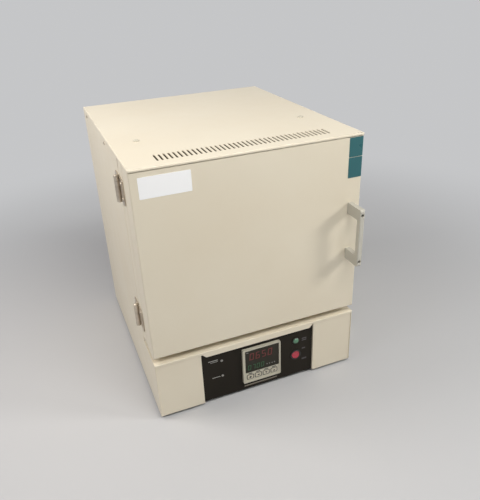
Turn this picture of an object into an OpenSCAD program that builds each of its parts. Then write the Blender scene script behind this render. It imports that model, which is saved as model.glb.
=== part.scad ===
// Bench-top chamber kiln: a double-skinned steel cabinet over a control base,
// a full-width side-hung door and a brick-lined, electrically heated chamber.
// The model is drawn from the base's front edge and then moved so that the
// origin lies under the middle of the whole kiln, on the bench top.

/* [Casing] */
// Width of the casing
body_w = 490; // [450:5:560]
// Depth of the casing, front of the base to the back
body_d = 560; // [520:5:640]
// Height of the casing above the feet
body_h = 585; // [560:5:680]
// Thickness of the casing sheets
sheet = 1.5; // [1.2:0.1:2]
// Bend radius on the outside of folded sheets
bend_r = 3; // [2:0.25:4]
// Gap between sheets that lie on each other
lap_gap = 0.2; // [0.1:0.05:0.3]
// Height of a foot
foot_h = 8; // [6:1:20]
// Radius of a foot
foot_r = 15; // [10:1:20]
// Distance from the casing's edge to a foot's centre
foot_inset = 45; // [35:1:70]

/* [Base and shelf] */
// Height of the base, up to the top of the shelf
base_h = 146; // [142:1:170]
// Thickness of the shelf plate
shelf_t = 2; // [1.5:0.25:3]
// Height of the lip along the front of the shelf
shelf_lip_h = 6.5; // [5:0.5:8]
// Height of the flap that hangs from the lip over the control panel
flap_h = 8.5; // [6:0.5:12]
// Distance the base's front sheets stand behind the door's front face
fascia_y = 1; // [0.5:0.25:2]
// Width of the recess for the control panel
recess_w = 281; // [260:1:320]
// Distance the control panel stands behind the base's front sheets
recess_depth = 5; // [3:0.5:9]
// Thickness of the control panel
panel_t = 2.5; // [2:0.25:4]

/* [Top cover] */
// Height of the cover's front lip
cover_lip_h = 4.5; // [4:0.25:8]
// Height of the cover's side and back flanges
cover_flange_h = 24; // [18:1:32]
// Distance the cover stands out in front of the door
cover_proud = 2; // [0:0.5:4]
// Number of vent slots in the cover
slot_count = 39; // [21:2:41]
// Pitch of the vent slots
slot_pitch = 9.5; // [8:0.25:10]
// Width of a vent slot
slot_w = 4.4; // [2:0.2:5]
// Length of a vent slot
slot_len = 38; // [20:1:50]
// Distance from the door's front face to the near end of the slots
slot_y = 27; // [20:1:40]

/* [Door] */
// Thickness of the door's outer shell, front to back
shell_d = 52; // [45:1:60]
// Width of the groove between the door's outer shell and its inner pan
groove_w = 3; // [2:0.5:6]
// Depth of that groove
groove_depth = 12; // [8:1:16]
// Thickness of the door from its front face to the back of its inner pan
door_d = 93; // [85:1:110]
// Gap between the door's inner pan and the cabinet's front
seal_gap = 4; // [4:0.25:6]
// Gap between the shelf and the door's bottom edge
door_gap_bottom = 17; // [8:1:24]
// Gap between the cover and the door's top edge
door_gap_top = 0.6; // [0.5:0.1:2]
// Distance the inner pan stands inside the outer shell's outline
pan_inset = 0.2; // [0.1:0.1:2]
// Depth of the plug behind the door's inner pan
plug_depth = 24; // [16:1:30]
// Amount each side of the plug leans in over its depth
plug_taper = 4; // [3:0.5:8]
// Gap between the plug and the chamber's mouth
plug_gap = 3.5; // [3:0.5:6]
// Radius of the door's rope seal
seal_r = 2.5; // [2:0.1:2.7]

/* [Handle] */
// Distance from the door's middle to the handle's near side
handle_x = 215; // [190:1:220]
// Width of the handle's grip and legs
handle_w = 11.5; // [10:0.5:16]
// Height of the handle
handle_h = 135; // [110:1:150]
// Height of the handle's lower end above the base's underside
handle_z = 300; // [260:1:380]
// Distance the handle stands out from the door
handle_out = 50; // [42:1:60]
// Thickness of the grip, front to back
grip_t = 11; // [9:0.5:14]
// Height of a handle leg
leg_h = 25; // [20:1:32]
// Radius of the screw recess in a handle leg
screw_recess_r = 3.4; // [3:0.1:4]

/* [Hinges] */
// Height of a hinge
hinge_h = 54; // [45:1:70]
// Number of knuckles on a hinge
knuckles = 5; // [3:2:7]
// Outer radius of a knuckle
knuckle_r = 5.2; // [4.6:0.1:6]
// Radius of a hinge pin
pin_r = 3; // [2.5:0.1:3.4]
// Running clearance between pin and knuckle
pin_gap = 0.05; // [0.03:0.01:0.09]
// Gap between neighbouring knuckles
knuckle_gap = 0.4; // [0.3:0.1:0.8]
// Distance from the casing's side to the hinge pin's centre
hinge_out = 6; // [5.8:0.1:8]
// Width of a hinge leaf beyond its knuckles
leaf_w = 30; // [24:1:36]
// Thickness of a hinge leaf
leaf_t = 2; // [1.5:0.25:2.5]
// Distance from the door's top and bottom edges to a hinge's centre
hinge_inset = 60; // [50:1:90]

/* [Chamber] */
// Inside width of the chamber
chamber_w = 220; // [180:2:240]
// Inside height of the chamber
chamber_h = 180; // [160:2:200]
// Inside depth of the chamber
chamber_d = 320; // [280:5:340]
// Thickness of the chamber's refractory blocks
brick_t = 40; // [30:1:45]
// Air gap between the inner case and the casing
air_gap = 25; // [22:1:30]
// Amount the steel front frame clears the chamber's mouth on each side
rim = 8; // [5:1:12]
// Gap between refractory pieces
brick_gap = 0.3; // [0.2:0.1:0.6]

/* [Heating elements] */
// Radius of an element rod
rod_r = 4; // [3:0.25:4.5]
// Number of element runs on each side wall
runs = 6; // [4:2:6]
// Pitch of the element runs
run_pitch = 26; // [22:1:26]
// Gap between a rod and its groove
groove_gap = 1; // [0.5:0.25:1.5]
// Depth of a rod's inner edge below the wall
rod_sunk = 0.5; // [0.25:0.25:2]

/* [Controls] */
// Side of the square controller bezel
bezel_w = 96; // [90:1:100]
// Distance the bezel stands out from the control panel
bezel_t = 7; // [5:0.5:9]
// Sideways place of the controller's centre
controller_x = 5; // [-20:1:10]
// Height of the controller's centre
controller_z = 70; // [66:1:74]
// Depth of the controller's case behind the panel
case_d = 70; // [50:1:100]
// Width of a key
key_w = 13; // [10:0.5:14]
// Height of a key
key_h = 9; // [7:0.5:10]
// Pitch of the keys
key_pitch = 20.4; // [18:0.2:21]
// Height of the keys' centre line
key_z = 37.5; // [35:0.5:42]
// Travel of a key
key_travel = 0.8; // [0.5:0.1:1]
// Gap round a moving control
control_gap = 0.4; // [0.3:0.05:0.6]
// Sideways place of the pilot lamp and the mains switch
switch_x = 96; // [90:0.5:110]
// Height of the mains switch
switch_z = 58.5; // [50:0.5:70]
// Radius of the mains switch's bezel
switch_r = 13.5; // [11:0.25:14]
// Angle the rocker turns between its two settings
rocker_angle = 18; // [12:1:20]
// Height of the pilot lamp
lamp_z = 100; // [98:1:110]
// Radius of the pilot lamp's bezel
lamp_r = 8.25; // [6:0.25:9]
// Sideways place of the two indicators
indicator_x = -92; // [-110:1:-80]
// Height of the lower indicator
indicator_z = 61; // [50:1:75]
// Distance between the two indicators
indicator_pitch = 43; // [30:1:50]
// Radius of an indicator
indicator_r = 3; // [2:0.25:4]

/* [Back] */
// Radius of the bore in the mains cable gland
gland_bore_r = 5; // [4:0.25:6]
// Height of the cable gland
gland_z = 60; // [45:1:90]
// Sideways place of the cable gland
gland_x = 150; // [100:5:180]
// Radius of the thermocouple's sheath
probe_r = 4; // [3:0.25:5]
// Distance the thermocouple reaches into the chamber
probe_reach = 40; // [20:1:60]

/* [Hidden] */

eps = 0.01;
curve = 48;
half_w = body_w / 2;
door_back = door_d;
frame_y = door_d + seal_gap;
front_fold_w = 8;
back_fold_w = 20;
frame_t = 2;
frame_front = frame_y + sheet + lap_gap / 2;
door_bottom = base_h + door_gap_bottom;
door_top = body_h - cover_lip_h - door_gap_top;
door_mid = (door_bottom + door_top) / 2;
inner_x = half_w - sheet - lap_gap;
deck_z = base_h;

// Cover: the sheets below its flanges step in by one sheet
cover_z = body_h - sheet;
flange_z = body_h - cover_flange_h;
step_in = sheet + lap_gap;

// Chamber and its lining
case_x = half_w - air_gap;
case_top = body_h - air_gap;
case_back = body_d - air_gap;
brick_front = frame_front + frame_t + lap_gap;
hearth_z = door_mid - chamber_h / 2;
roof_z = door_mid + chamber_h / 2;
block_x = chamber_w / 2 + brick_t;
back_y = brick_front + chamber_d;
back_end = back_y + brick_t;
lining_x = case_x - sheet - brick_gap;
lining_top = case_top - sheet - brick_gap;
lining_bottom = deck_z + sheet + brick_gap;
lining_back = case_back - sheet - brick_gap;

// Elements
rod_x = chamber_w / 2 + rod_sunk + rod_r;
run_z0 = door_mid - (runs - 1) * run_pitch / 2;
run_front = brick_front + 42;
run_back = back_y - run_pitch / 2 - rod_r - groove_gap - 4;
rod_end = case_back + 12;
bush_r = rod_r + 4;

// Hinge and pin
hinge_x = -half_w - hinge_out;
hinge_y = door_d + seal_gap / 2;
hinge_zs = [door_bottom + hinge_inset, door_top - hinge_inset];
knuckle_pitch = hinge_h / knuckles;
leaf_gap = 5;

// Controls
face_y = max(fascia_y, sheet + lap_gap);
panel_y = face_y + recess_depth;
web_y = panel_y + panel_t;
panel_top = base_h - shelf_lip_h - flap_h - 1;
bezel_y = panel_y - bezel_t;
window_w = bezel_w - 14;
window_h = bezel_w * 0.625;
window_z = controller_z + bezel_w * 0.12;
lamp_hole_r = lamp_r - 2;
switch_hole_r = switch_r - 1.5;
rocker_r = switch_r - 2.5;
pivot_r = 1.2;
pivot_y = panel_y + 3;

// Door-operated switch, in the gap beside the inner case
plunger_x = case_x + 9;
plunger_z = door_top - 62;
plunger_r = 2.5;
plunger_travel = 3;

// Solid-state relay's heat sink, on the base's floor
sink_x = -half_w * 0.53;
sink_y = body_d * 0.62;
sink_w = 100;
sink_d = 80;
sink_base = 5;
fin_t = 2;
fin_h = 22;
fin_count = 8;

// Screws of the cover's top, of its sides and of the back panel
cover_top_x = half_w * 0.773;
cover_top_y = body_d * 0.31;
cover_screw_z = body_h - 13;
cover_screw_ys = [body_d * 0.427, body_d - 60];
rear_w = body_w - 12;
rear_z0 = 4;
rear_z1 = flange_z - 3;
rear_screw_x = rear_w / 2 - 7;
rear_screw_zs = [for (i = [0:3]) rear_z0 + 20 + i * (rear_z1 - rear_z0 - 40) / 3];

// The whole kiln's outer limits, from the front left corner of the base
low_x = hinge_x - knuckle_r;
gland_len = 18;
far_y = body_d + sheet + lap_gap / 2 + gland_len;
near_y = -handle_out;
origin = [-(low_x + half_w) / 2, -(near_y + far_y) / 2, foot_h];

// Moves a piece from the base's front edge to the kiln's own origin
module place() {
    translate(origin) children();
}

// Flat rounded rectangle, centred
module round_rect(w, h, r) {
    square([w - 2 * r, h], center = true);
    square([w, h - 2 * r], center = true);
    for (x = [-1, 1], y = [-1, 1])
        translate([x * (w / 2 - r), y * (h / 2 - r)]) circle(r, $fn = curve);
}

// Flat rectangle from x0,y0 to x1,y1 whose front corners are rounded
module front_round(x0, x1, y0, y1, r) {
    translate([x0, y0 + r]) square([x1 - x0, y1 - y0 - r]);
    translate([x0 + r, y0]) square([x1 - x0 - 2 * r, r + eps]);
    for (x = [x0 + r, x1 - r])
        translate([x, y0 + r]) circle(r, $fn = curve);
}

// Extrudes a flat shape drawn in X and Z along Y, from y0 to y1
module along_y(y0, y1) {
    translate([0, y1, 0]) rotate([90, 0, 0]) linear_extrude(y1 - y0) children();
}

// Extrudes a flat shape drawn in Y and Z along X, from x0 to x1
module along_x(x0, x1) {
    translate([x0, 0, 0]) rotate([90, 0, 90]) linear_extrude(x1 - x0) children();
}

// Extrudes a flat shape drawn in X and Y along Z, from z0 to z1
module along_z(z0, z1) {
    translate([0, 0, z0]) linear_extrude(z1 - z0) children();
}

// Block between two corners
module block(low, high) {
    translate(low) cube(high - low);
}

// Cylinder along Y from y0 to y1
module rod_y(x, z, r, y0, y1) {
    translate([x, y1, z]) rotate([90, 0, 0]) cylinder(r = r, h = y1 - y0, $fn = curve);
}

// Block whose four front edges and four front-to-back edges are rounded
module soft_front(x0, x1, y0, y1, z0, z1, r) {
    intersection() {
        along_z(z0, z1) front_round(x0, x1, y0, y1, r);
        along_x(x0, x1)
            translate([y0, (z0 + z1) / 2]) rotate(-90)
                front_round(-(z1 - z0) / 2, (z1 - z0) / 2, 0, y1 - y0, r);
    }
}

// Left-hand side panel: a sheet that carries the base's side, steps back above
// the shelf and folds in at the cabinet's front and back edges
module side_sheet() {
    lower_top = base_h - shelf_t - lap_gap / 2;
    upper_top = flange_z - lap_gap;
    // Outer skin of the base's side, notched for the shelf's lip
    difference() {
        along_z(0, lower_top) front_round(-half_w, -half_w + 2 * sheet, 0.2, frame_y + 10, sheet - 0.1);
        block([-half_w + sheet, -1, -1], [-half_w + 3 * sheet, frame_y + 20, lower_top + 1]);
        block([-half_w - 1, -1, base_h - shelf_lip_h - lap_gap],
            [-half_w + sheet + 1, sheet + lap_gap, lower_top + 1]);
    }
    difference() {
        union() {
            // Outer skin of the cabinet's side, folded in at the front and the back
            along_z(0, upper_top)
                difference() {
                    folded_plan(frame_y, body_d, bend_r);
                    translate([sheet, sheet]) folded_plan(frame_y, body_d - 2 * sheet, bend_r - sheet);
                    translate([-half_w + front_fold_w, 0]) square([back_fold_w, body_d / 2]);
                }
            // Step below the cover's flange
            block([-half_w + eps, frame_y + bend_r, upper_top - sheet],
                [-half_w + 2 * sheet + lap_gap, body_d - bend_r - sheet, upper_top]);
            block([-half_w + step_in, frame_y, upper_top - sheet],
                [-half_w + step_in + sheet, body_d - step_in, cover_z - lap_gap]);
            // Front fold behind the door, carried up to the cover
            block([-half_w + step_in, frame_y, upper_top - sheet],
                [-half_w + front_fold_w, frame_y + sheet, cover_z - lap_gap]);
        }
        // The front fold ends at the shelf
        block([-half_w + sheet, frame_y - 1, -1],
            [-half_w + front_fold_w + 1, frame_y + bend_r + 1, base_h + lap_gap]);
        side_screw_holes(-1);
        for (z = rear_screw_zs)
            rod_y(-rear_screw_x, z, screw_r + 0.3, body_d - sheet - 1, body_d + 1);
    }
}

// Plan of one side panel with its folds, from y0 to y1, as a filled shape
module folded_plan(y0, y1, r) {
    w = back_fold_w;
    translate([-half_w, y0 + r]) square([w, y1 - y0 - 2 * r]);
    translate([-half_w + r, y0]) square([w - r, y1 - y0]);
    for (y = [y0 + r, y1 - r])
        translate([-half_w + r, y]) circle(r, $fn = curve);
}

// Holes for the screws that join the cover's flange to the side panel on side s
module side_screw_holes(s) {
    for (y = cover_screw_ys)
        translate([s * (half_w + 1), y, cover_screw_z]) rotate([0, -s * 90, 0])
            cylinder(r = screw_r + 0.3, h = 2 * sheet + lap_gap + 2, $fn = curve);
}

module side_panel_left() {
    color("#e8dfc9") place() side_sheet();
}

module side_panel_right() {
    color("#e8dfc9") place() mirror([1, 0, 0]) side_sheet();
}

// Floor of the base, with its edges turned up and a field of air slots
module base_floor() {
    y0 = web_y + 2 * sheet + lap_gap;
    y1 = body_d - bend_r - lap_gap;
    rise = 14;
    color("#b9b4a4") place() difference() {
        union() {
            block([-inner_x, y0, 0], [inner_x, y1, sheet]);
            for (x = [-inner_x, inner_x - sheet])
                block([x, y0, 0], [x + sheet, y1, rise]);
            for (y = [y0, y1 - sheet])
                block([-inner_x, y, 0], [inner_x, y + sheet, rise]);
        }
        for (i = [-6:6], y = [body_d * 0.3, body_d * 0.55])
            translate([i * 2 * slot_pitch, y, -1])
                linear_extrude(sheet + 2) square([slot_w, slot_len], center = true);
    }
}

// Four rubber feet
module feet() {
    color("#2c2b29") place()
        for (x = [-1, 1], y = [foot_inset, body_d - foot_inset])
            translate([x * (half_w - foot_inset), y, -foot_h]) {
                cylinder(r1 = foot_r - 1.5, r2 = foot_r, h = 2, $fn = curve);
                translate([0, 0, 2]) cylinder(r = foot_r, h = foot_h - 2, $fn = curve);
            }
}

// Shelf under the door and deck under the chamber, in one folded sheet
module shelf_tray() {
    z0 = base_h - shelf_t;
    lip_z = base_h - shelf_lip_h;
    flap_z = lip_z - flap_h;
    flap_w = recess_w - 6;
    r = shelf_t - 0.2;
    color("#f0e8d4") place() {
        // Shelf in front of the cabinet, as wide as the casing
        difference() {
            soft_front(-half_w, half_w, 0, frame_y - lap_gap, lip_z - 2 * r, base_h, r);
            block([-half_w - 1, sheet, lip_z - 2 * r - 1], [half_w + 1, frame_y + 1, z0]);
            block([-half_w - 1, -1, lip_z - 2 * r - 1], [half_w + 1, sheet + 1, lip_z]);
        }
        // Deck between the side panels
        block([-inner_x, frame_y - 2, z0], [inner_x, body_d - bend_r - lap_gap, base_h]);
        // Flap over the control panel, with its ends cut at a slant
        along_y(0, sheet) polygon([[-flap_w / 2, lip_z + 1], [flap_w / 2, lip_z + 1],
            [flap_w / 2, lip_z], [flap_w / 2 - flap_h, flap_z],
            [-flap_w / 2 + flap_h, flap_z], [-flap_w / 2, lip_z]]);
    }
}

// Front of the base: two faces with a recessed web between them
module front_fascia() {
    top = base_h - shelf_t - lap_gap;
    half = recess_w / 2;
    fold_w = 16;
    color("#e8dfc9") place() difference() {
        union() {
            for (s = [-1, 1]) {
                face_x = (half + inner_x) / 2;
                translate([s * face_x, 0, 0])
                    block([-(inner_x - half) / 2, face_y, 0],
                        [(inner_x - half) / 2, face_y + sheet, top]);
                translate([s * (half + sheet / 2), 0, 0])
                    block([-sheet / 2, face_y, 0], [sheet / 2, web_y + sheet, top]);
            }
            block([-half - sheet, web_y, 0], [half + sheet, web_y + sheet, top]);
            // Fold under the shelf
            block([-inner_x, web_y, top - sheet], [inner_x, web_y + fold_w, top]);
        }
        panel_cuts(web_y - 1, web_y + sheet + 1, 1);
    }
}

// Holes for the controls, from y0 to y1, each wider by extra
module panel_cuts(y0, y1, extra) {
    along_y(y0, y1) {
        translate([controller_x, controller_z]) square(bezel_w - 6 + 2 * extra, center = true);
        translate([switch_x, switch_z]) circle(switch_hole_r + extra, $fn = curve);
        translate([switch_x, lamp_z]) circle(lamp_hole_r + extra, $fn = curve);
        for (i = [0, 1])
            translate([indicator_x, indicator_z + i * indicator_pitch])
                circle(indicator_r + extra, $fn = curve);
    }
}

// Black plate that carries the controls
module control_panel() {
    edge = recess_w / 2 - lap_gap;
    color("#23211c") place() difference() {
        block([-edge, panel_y, 0], [edge, web_y - lap_gap / 2, panel_top + 8]);
        panel_cuts(panel_y - 1, web_y + 1, 0.2);
    }
}

// Back panel, screwed over the side panels' back folds
module rear_panel() {
    y0 = body_d + lap_gap / 2;
    color("#e0d7c1") place() difference() {
        along_y(y0, y0 + sheet)
            translate([0, (rear_z0 + rear_z1) / 2]) round_rect(rear_w, rear_z1 - rear_z0, 4);
        along_y(y0 - 1, y0 + sheet + 1) {
            for (i = [-9:9], z = [base_h * 0.75, body_h * 0.82])
                if (abs(i * 2 * slot_pitch - gland_x) > 30 || z > base_h)
                    translate([i * 2 * slot_pitch, z]) round_rect(slot_w, slot_len, slot_w / 2 - 0.1);
            translate([gland_x, gland_z]) circle(gland_thread_r + 0.2, $fn = curve);
            for (x = [-1, 1], z = rear_screw_zs)
                translate([x * rear_screw_x, z]) circle(screw_r + 0.3, $fn = curve);
        }
    }
}

gland_thread_r = gland_bore_r + 3;
screw_r = 2;

// Top cover: a folded tray that runs forward over the door, with its vent slots
module top_cover() {
    y0 = -cover_proud;
    r = bend_r - 0.5;
    low = body_h - cover_lip_h;
    color("#f2ead6") place() difference() {
        intersection() {
            translate([0, 0, flange_z]) linear_extrude(cover_flange_h)
                translate([0, (y0 + body_d) / 2]) round_rect(body_w, body_d - y0, r);
            along_x(-half_w, half_w) union() {
                translate([y0, flange_z]) square([body_d - y0, cover_flange_h - r]);
                translate([y0 + r, flange_z]) square([body_d - y0 - 2 * r, cover_flange_h]);
                for (y = [y0 + r, body_d - r])
                    translate([y, body_h - r]) circle(r, $fn = curve);
            }
            along_y(y0, body_d) union() {
                translate([-half_w, flange_z]) square([body_w, cover_flange_h - r]);
                translate([-half_w + r, flange_z]) square([body_w - 2 * r, cover_flange_h]);
                for (x = [-half_w + r, half_w - r])
                    translate([x, body_h - r]) circle(r, $fn = curve);
            }
        }
        // Hollow below the sheet
        block([-half_w + sheet, y0 + sheet, flange_z - 1],
            [half_w - sheet, body_d - sheet, cover_z]);
        // The flanges stop short over the door
        block([-half_w - 1, y0 - 1, flange_z - 1], [half_w + 1, frame_y - lap_gap, low]);
        for (i = [0:slot_count - 1])
            translate([(i - (slot_count - 1) / 2) * slot_pitch, slot_y + slot_len / 2, cover_z - 1])
                linear_extrude(sheet + 2) rotate(90) round_rect(slot_len, slot_w, slot_w / 2 - 0.1);
        for (s = [-1, 1]) {
            side_screw_holes(s);
            translate([s * cover_top_x, cover_top_y, cover_z - 1])
                cylinder(r = screw_r + 0.3, h = sheet + 2, $fn = curve);
        }
    }
}

// Pan-head screw whose seat is at the origin, with its shank along -Z
module screw(shank) {
    head_r = screw_r * 1.9;
    head_h = screw_r * 1.1;
    difference() {
        intersection() {
            cylinder(r = head_r, h = head_h, $fn = curve);
            translate([0, 0, head_h - head_r * 1.6]) sphere(r = head_r * 1.6, $fn = curve);
        }
        for (a = [0, 90])
            rotate(a) translate([-screw_r * 0.9, -screw_r * 0.2, head_h * 0.45])
                cube([screw_r * 1.8, screw_r * 0.4, head_h]);
    }
    translate([0, 0, -shank]) cylinder(r = screw_r, h = shank + eps, $fn = curve);
}

// Screws of the cover and of the back panel
module casing_screws() {
    reach = 2 * sheet + lap_gap + 1;
    color("#c9c6bd") place() {
        for (s = [-1, 1]) {
            for (y = cover_screw_ys)
                translate([s * half_w, y, cover_screw_z]) rotate([0, s * 90, 0]) screw(reach);
            translate([s * cover_top_x, cover_top_y, body_h]) screw(reach);
        }
        for (x = [-1, 1], z = rear_screw_zs)
            translate([x * rear_screw_x, body_d + lap_gap / 2 + sheet, z]) rotate([-90, 0, 0])
                screw(reach);
    }
}

// Steel plate round the chamber's mouth, behind the side panels' front folds
module front_frame() {
    x = half_w - max(bend_r, 2 * sheet + lap_gap) - lap_gap;
    color("#d9cfb6") place() difference() {
        block([-x, frame_front, deck_z + lap_gap], [x, frame_front + frame_t, cover_z - 1]);
        block([-chamber_w / 2 - rim, frame_front - 1, hearth_z - rim],
            [chamber_w / 2 + rim, frame_front + frame_t + 1, roof_z + rim]);
        rod_y(plunger_x, plunger_z, plunger_r + control_gap, frame_front - 1, frame_front + frame_t + 1);
        rod_y(catch_x, door_mid, screw_r + 0.3, frame_front - 1, frame_front + frame_t + 1);
    }
}

// Inner steel case that holds the lining, open at the front
module inner_case() {
    color("#a8a69e") place() difference() {
        block([-case_x, frame_front + frame_t + lap_gap / 2, deck_z + lap_gap / 2],
            [case_x, case_back, case_top]);
        block([-case_x + sheet, 0, deck_z + sheet], [case_x - sheet, case_back - sheet, case_top - sheet]);
        for (s = [-1, 1], i = [0, runs - 1])
            rod_y(s * rod_x, run_z0 + i * run_pitch, bush_r + 0.2, case_back - 4, case_back + 4);
        rod_y(0, probe_z, probe_r + 0.5, case_back - 4, case_back + 4);
    }
}

probe_z = roof_z - 30;

module hearth_block() {
    color("#ece6da") place()
        block([-block_x, brick_front, hearth_z - brick_t], [block_x, back_y - brick_gap, hearth_z]);
}

module roof_block() {
    color("#ece6da") place()
        block([-block_x, brick_front, roof_z], [block_x, back_y - brick_gap, roof_z + brick_t]);
}

// One side wall of the chamber, left-hand, with the channel for its element
module side_brick() {
    difference() {
        block([-block_x, brick_front, hearth_z + brick_gap],
            [-chamber_w / 2, back_y - brick_gap, roof_z - brick_gap]);
        element_path(rod_r + groove_gap, chamber_w / 2 + 1, back_y + 1);
    }
}

module side_block_left() {
    color("#e6dfd0") place() side_brick();
}

module side_block_right() {
    color("#e6dfd0") place() mirror([1, 0, 0]) side_brick();
}

// Hairpin path of the left-hand element, as a rod of radius r. With open_x the
// rod becomes a channel that is open towards the chamber.
module element_path(r, open_x, end_y) {
    for (i = [0:runs - 1]) {
        z = run_z0 + i * run_pitch;
        last = (i == 0 || i == runs - 1) ? end_y : run_back;
        rod_y(-rod_x, z, r, run_front, last);
        if (open_x > 0)
            block([-rod_x, run_front, z - r], [-open_x + 2, last, z + r]);
    }
    for (i = [0:runs - 2]) {
        front = (i % 2 == 0);
        y = front ? run_front : run_back;
        translate([-rod_x, y, run_z0 + (i + 0.5) * run_pitch])
            rotate([front ? 180 : 0, 0, 0]) rotate([0, 90, 0]) rotate(front ? 0 : 0)
                bend_half(r, open_x > 0 ? rod_x - open_x + 2 : 0);
    }
}

// Half ring that joins two runs: tube of radius r, opened upwards by open
module bend_half(r, open) {
    rotate_extrude(angle = 180, $fn = curve)
        translate([run_pitch / 2, 0]) {
            circle(r, $fn = curve);
            if (open > 0) translate([-r, 0]) square([2 * r, open]);
        }
}

module rear_block() {
    color("#ece6da") place() difference() {
        block([-block_x, back_y, hearth_z - brick_t], [block_x, back_end, roof_z + brick_t]);
        element_holes(rod_r + groove_gap, back_y - 1, back_end + 1);
        rod_y(0, probe_z, probe_r + groove_gap, back_y - 1, back_end + 1);
    }
}

// Holes for the element ends
module element_holes(r, y0, y1) {
    for (s = [-1, 1], i = [0, runs - 1])
        rod_y(s * rod_x, run_z0 + i * run_pitch, r, y0, y1);
}

module backing_bottom() {
    color("#f3f0e8") place()
        block([-block_x, brick_front, lining_bottom], [block_x, lining_back, hearth_z - brick_t - brick_gap]);
}

module backing_top() {
    color("#f3f0e8") place()
        block([-block_x, brick_front, roof_z + brick_t + brick_gap], [block_x, lining_back, lining_top]);
}

module backing_side(s) {
    translate([s * (block_x + lining_x + brick_gap) / 2, 0, 0])
        block([-(lining_x - block_x - brick_gap) / 2, brick_front, lining_bottom],
            [(lining_x - block_x - brick_gap) / 2, lining_back, lining_top]);
}

module backing_left() {
    color("#f3f0e8") place() backing_side(-1);
}

module backing_right() {
    color("#f3f0e8") place() backing_side(1);
}

module backing_rear() {
    color("#f3f0e8") place() difference() {
        block([-block_x, back_end + brick_gap, hearth_z - brick_t],
            [block_x, lining_back, roof_z + brick_t]);
        element_holes(rod_r + groove_gap, back_end - 1, lining_back + 1);
        rod_y(0, probe_z, probe_r + groove_gap, back_end - 1, lining_back + 1);
    }
}

module element_left() {
    color("#7b746c") place() element_path(rod_r, 0, rod_end);
}

module element_right() {
    color("#7b746c") place() mirror([1, 0, 0]) element_path(rod_r, 0, rod_end);
}

// Ceramic bushes where the element ends leave the inner case
module terminal_bushes() {
    color("#f4f1ea") place()
        for (s = [-1, 1], i = [0, runs - 1])
            translate([s * rod_x, case_back - sheet, run_z0 + i * run_pitch]) rotate([-90, 0, 0])
                difference() {
                    union() {
                        cylinder(r = bush_r, h = sheet + 3, $fn = curve);
                        translate([0, 0, sheet + lap_gap]) cylinder(r = bush_r + 2, h = 3, $fn = curve);
                    }
                    translate([0, 0, -1]) cylinder(r = rod_r + 0.1, h = sheet + 8, $fn = curve);
                }
}

// Clamps on the element ends
module element_terminals() {
    color("#c8b27a") place()
        for (s = [-1, 1], i = [0, runs - 1])
            translate([s * rod_x, case_back + 5, run_z0 + i * run_pitch]) difference() {
                translate([-8, 0, -8]) cube([16, 9, 16]);
                rotate([-90, 0, 0]) translate([0, 0, -1]) cylinder(r = rod_r + 0.1, h = 12, $fn = curve);
                translate([0, 4.5, 0]) rotate([0, s * 90, 0]) translate([0, 0, rod_r + 1])
                    cylinder(r = 1.6, h = 6, $fn = curve);
            }
}

module thermocouple() {
    tip = back_y - probe_reach;
    color("#8d8a84") place() {
        translate([0, tip, probe_z]) sphere(r = probe_r, $fn = curve);
        rod_y(0, probe_z, probe_r, tip, case_back + 6);
    }
}

module thermocouple_head() {
    color("#b8b4aa") place() difference() {
        union() {
            rod_y(0, probe_z, probe_r + 4, case_back + lap_gap / 2, case_back + 4);
            rod_y(0, probe_z, probe_r + 7, case_back + 4, case_back + 18);
        }
        rod_y(0, probe_z, probe_r + 0.1, case_back - 1, case_back + 7);
    }
}

// Moulded frame of the controller, with its display window and key openings
module controller_bezel() {
    color("#9a978a") place() translate([controller_x, 0, controller_z]) difference() {
        along_y(bezel_y, panel_y - lap_gap / 2) round_rect(bezel_w, bezel_w, 3);
        // Raised rim
        along_y(bezel_y - 1, bezel_y + 1.2) round_rect(bezel_w - 7, bezel_w - 7, 1.5);
        // Display window
        along_y(bezel_y - 1, bezel_y + 3.5) translate([0, window_z - controller_z])
            round_rect(window_w + 0.4, window_h + 0.4, 3);
        for (i = [0:3])
            along_y(bezel_y - 1, panel_y + 1) translate([(i - 1.5) * key_pitch, key_z - controller_z])
                round_rect(key_w + 2 * control_gap, key_h + 2 * control_gap, 2);
    }
}

// Controller's body behind the panel
module controller_case() {
    w = bezel_w - 6;
    color("#2b2a27") place() translate([controller_x, 0, controller_z]) difference() {
        block([-w / 2, panel_y, -w / 2], [w / 2, panel_y + case_d, w / 2]);
        // Hollow behind the keys
        block([-w / 2 + 4, panel_y - 1, key_z - controller_z - key_h],
            [w / 2 - 4, panel_y + key_travel + 1, key_z - controller_z + key_h]);
    }
}

module controller_lens() {
    color("#1a0f10") place() translate([controller_x, 0, window_z])
        along_y(bezel_y + 1.4, bezel_y + 3.5 - lap_gap / 2) round_rect(window_w, window_h, 2.8);
}

// One key: a rounded cap with a flange behind the bezel
module key(i) {
    color("#c9c6b8") place() translate([controller_x + (i - 1.5) * key_pitch, 0, key_z]) {
        along_y(bezel_y + 0.2, panel_y + lap_gap) round_rect(key_w, key_h, 1.8);
        along_y(panel_y + lap_gap / 2, panel_y + 0.8) round_rect(key_w + 3, key_h + 3, 1.8);
    }
}

module key_1() {
    key(0);
}

module key_2() {
    key(1);
}

module key_3() {
    key(2);
}

module key_4() {
    key(3);
}

// Ring of a panel lamp, with its body through the panel
module pilot_lamp_bezel() {
    color("#3a3934") place() difference() {
        union() {
            rod_y(switch_x, lamp_z, lamp_r, panel_y - 1.8, panel_y - lap_gap / 4);
            rod_y(switch_x, lamp_z, lamp_hole_r, panel_y - 1, panel_y + 16);
        }
        rod_y(switch_x, lamp_z, lamp_hole_r - 0.8, panel_y - 3, panel_y + 14);
    }
}

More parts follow.
